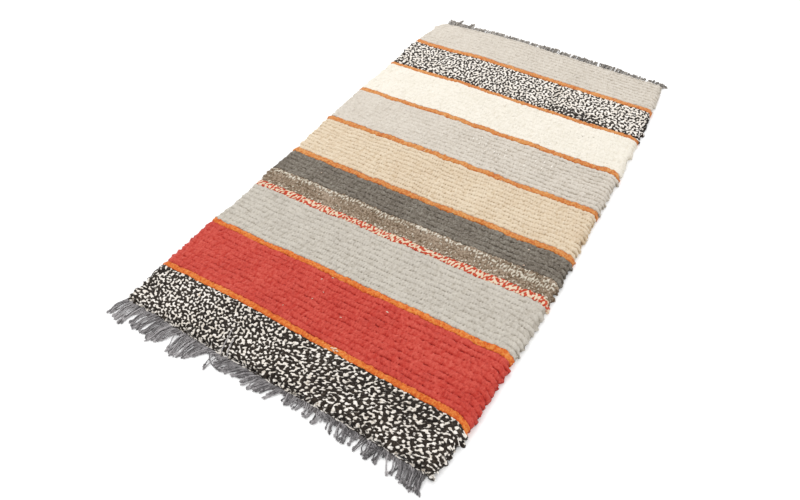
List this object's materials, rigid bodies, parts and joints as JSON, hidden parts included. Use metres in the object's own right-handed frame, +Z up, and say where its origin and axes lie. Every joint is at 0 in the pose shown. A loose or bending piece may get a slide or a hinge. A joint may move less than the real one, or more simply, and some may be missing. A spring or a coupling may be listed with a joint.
{
  "type": "nepalese rug",
  "caption": "Hand-knotted wool rug with a thick ribbed pile in crosswise stripes and a short fringe of yarn at both ends, lying flat.",
  "frame": {"origin": "middle of the flat underside of the pile", "axes": "+X across the rug to the right, +Y along the rug from the near end to the far end, +Z up out of the pile"},
  "size_m": [0.9026, 1.7469, 0.02],
  "materials": {
    "knotted_wool": "matt wool pile in stripes of grey, ivory, beige, red, orange and black-and-ivory yarn",
    "near_fringe_yarn": "matt grey twisted yarn",
    "far_fringe_yarn": "matt dark grey twisted yarn"
  },
  "bodies": {
    "root": {"rug_body": "knotted_wool", "fringe_near": "near_fringe_yarn", "fringe_far": "far_fringe_yarn"}
  },
  "joints": []
}
